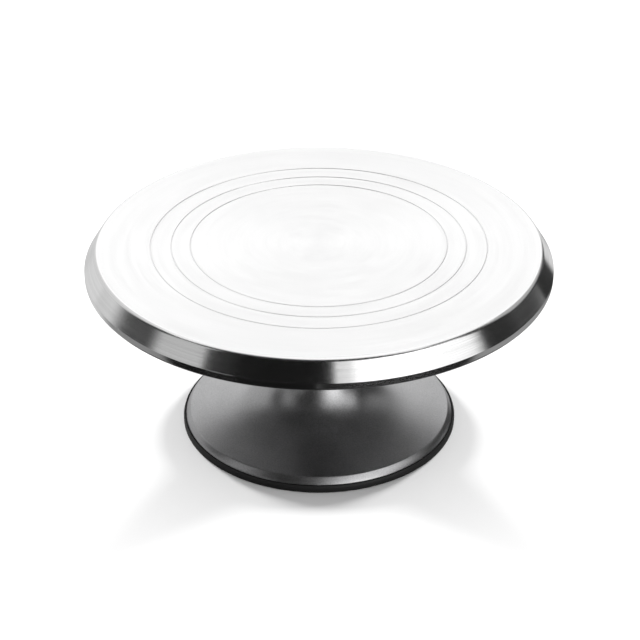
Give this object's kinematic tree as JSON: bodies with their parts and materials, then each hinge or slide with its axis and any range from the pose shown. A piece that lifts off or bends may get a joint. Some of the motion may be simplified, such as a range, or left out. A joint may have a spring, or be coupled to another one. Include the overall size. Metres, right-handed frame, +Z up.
{
  "type": "cake turntable",
  "caption": "Revolving cake stand: a round bevelled aluminium plate on ball bearings over a flared metal pedestal with a rubber foot ring.",
  "frame": {"origin": "on the table surface, under the turning axis", "axes": "+Z up along the turning axis; X and Y in the table's plane"},
  "size_m": [0.305, 0.305, 0.134],
  "materials": {
    "turned_aluminium": "fine concentric turning marks, bright",
    "grey_metallic_paint": "satin dark grey metallic coat with a fine grain",
    "black_rubber": "matt black moulded rubber",
    "machined_steel": "turned steel",
    "bearing_steel": "ground and polished",
    "brass": "pressed brass",
    "zinc_plate": "zinc-plated steel",
    "black_plastic": "fine moulded texture"
  },
  "bodies": {
    "pedestal_group": {"pedestal": "grey_metallic_paint", "foot_ring": "black_rubber", "neck_seal": "black_rubber", "bore_cap": "black_plastic", "wave_washer": "machined_steel", "upper_bearing_outer_ring": "bearing_steel", "upper_bearing_top_shield": "machined_steel", "upper_bearing_bottom_shield": "machined_steel", "lower_bearing_outer_ring": "bearing_steel", "lower_bearing_top_shield": "machined_steel", "lower_bearing_bottom_shield": "machined_steel"},
    "turntable": {"turntable_plate": "turned_aluminium", "spindle": "machined_steel", "flange_screw_1": "zinc_plate", "flange_screw_2": "zinc_plate", "flange_screw_3": "zinc_plate", "flange_screw_4": "zinc_plate", "bearing_spacer": "machined_steel", "lock_washer": "zinc_plate", "lock_nut": "zinc_plate", "upper_bearing_inner_ring": "bearing_steel", "lower_bearing_inner_ring": "bearing_steel"},
    "upper_cage": {"upper_bearing_cage": "brass", "upper_bearing_ball_1": "bearing_steel", "upper_bearing_ball_2": "bearing_steel", "upper_bearing_ball_3": "bearing_steel", "upper_bearing_ball_4": "bearing_steel", "upper_bearing_ball_5": "bearing_steel", "upper_bearing_ball_6": "bearing_steel", "upper_bearing_ball_7": "bearing_steel", "upper_bearing_ball_8": "bearing_steel", "upper_bearing_ball_9": "bearing_steel"},
    "lower_cage": {"lower_bearing_cage": "brass", "lower_bearing_ball_1": "bearing_steel", "lower_bearing_ball_2": "bearing_steel", "lower_bearing_ball_3": "bearing_steel", "lower_bearing_ball_4": "bearing_steel", "lower_bearing_ball_5": "bearing_steel", "lower_bearing_ball_6": "bearing_steel", "lower_bearing_ball_7": "bearing_steel", "lower_bearing_ball_8": "bearing_steel", "lower_bearing_ball_9": "bearing_steel"}
  },
  "joints": [
    {"name": "plate_spin", "type": "hinge", "parent": "pedestal_group", "child": "turntable", "pos_m": [0, 0, 0.1], "axis": [0, 0, 1], "continuous": true},
    {"name": "upper_cage_spin", "type": "hinge", "parent": "pedestal_group", "child": "upper_cage", "pos_m": [0, 0, 0.1], "axis": [0, 0, 1], "continuous": true},
    {"name": "lower_cage_spin", "type": "hinge", "parent": "pedestal_group", "child": "lower_cage", "pos_m": [0, 0, 0.04], "axis": [0, 0, 1], "continuous": true}
  ],
  "couplings": [
    {"joint": "upper_cage_spin", "follows": "plate_spin", "ratio": 0.3976},
    {"joint": "lower_cage_spin", "follows": "plate_spin", "ratio": 0.3976}
  ]
}
